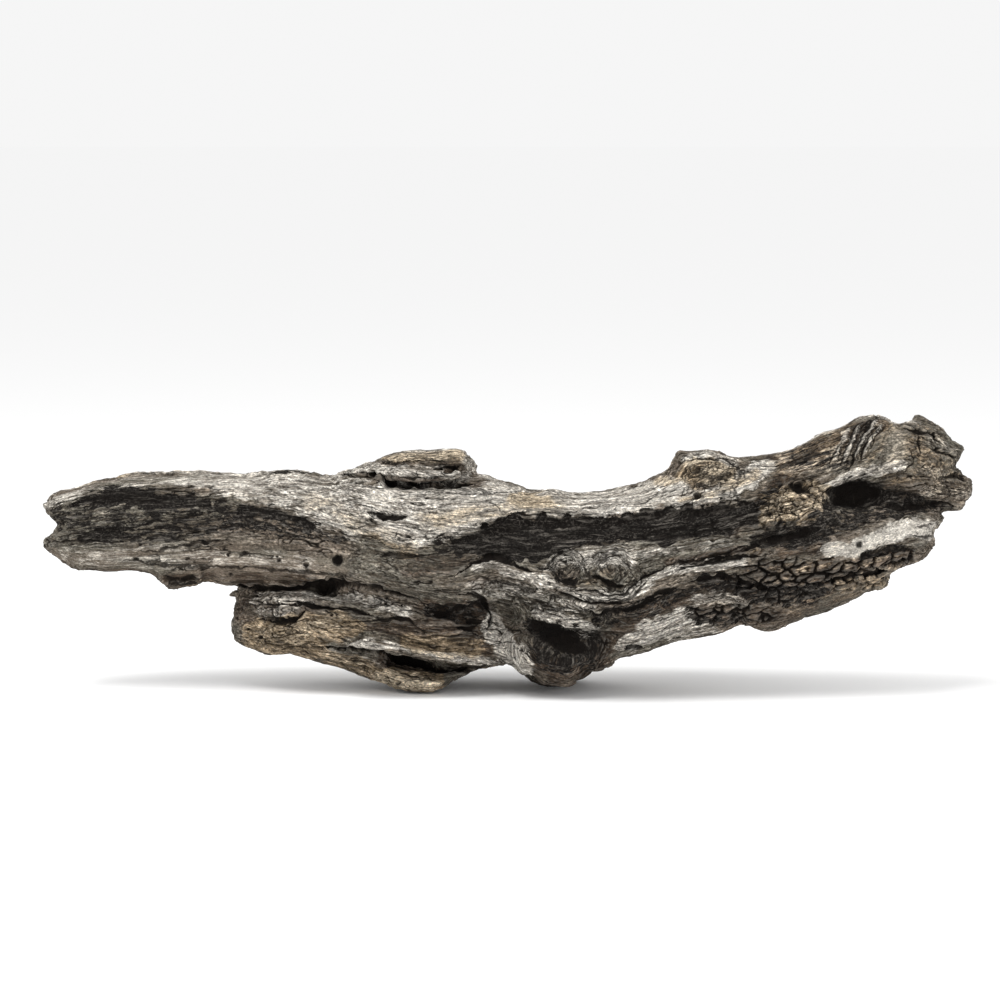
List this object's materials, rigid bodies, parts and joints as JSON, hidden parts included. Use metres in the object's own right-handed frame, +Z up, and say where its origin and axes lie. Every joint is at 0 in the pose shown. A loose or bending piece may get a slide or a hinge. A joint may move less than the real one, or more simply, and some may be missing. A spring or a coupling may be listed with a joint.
{
  "type": "piece of driftwood",
  "caption": "Weathered, gnarled length of driftwood with a thin left arm, a knotted middle and a broken right end; stands free as a display piece.",
  "frame": {"origin": "under the middle of the wood's box, on the surface that it stands on", "axes": "+X along the wood towards its broken right end, +Y towards the back, +Z up"},
  "size_m": [0.5576, 0.1222, 0.1661],
  "materials": {
    "weathered_wood": "dry, unfinished, deeply weathered: silver-grey ridges, brown and charred hollows, fine open checks along the grain"
  },
  "bodies": {
    "root": {"driftwood": "weathered_wood"}
  },
  "joints": []
}
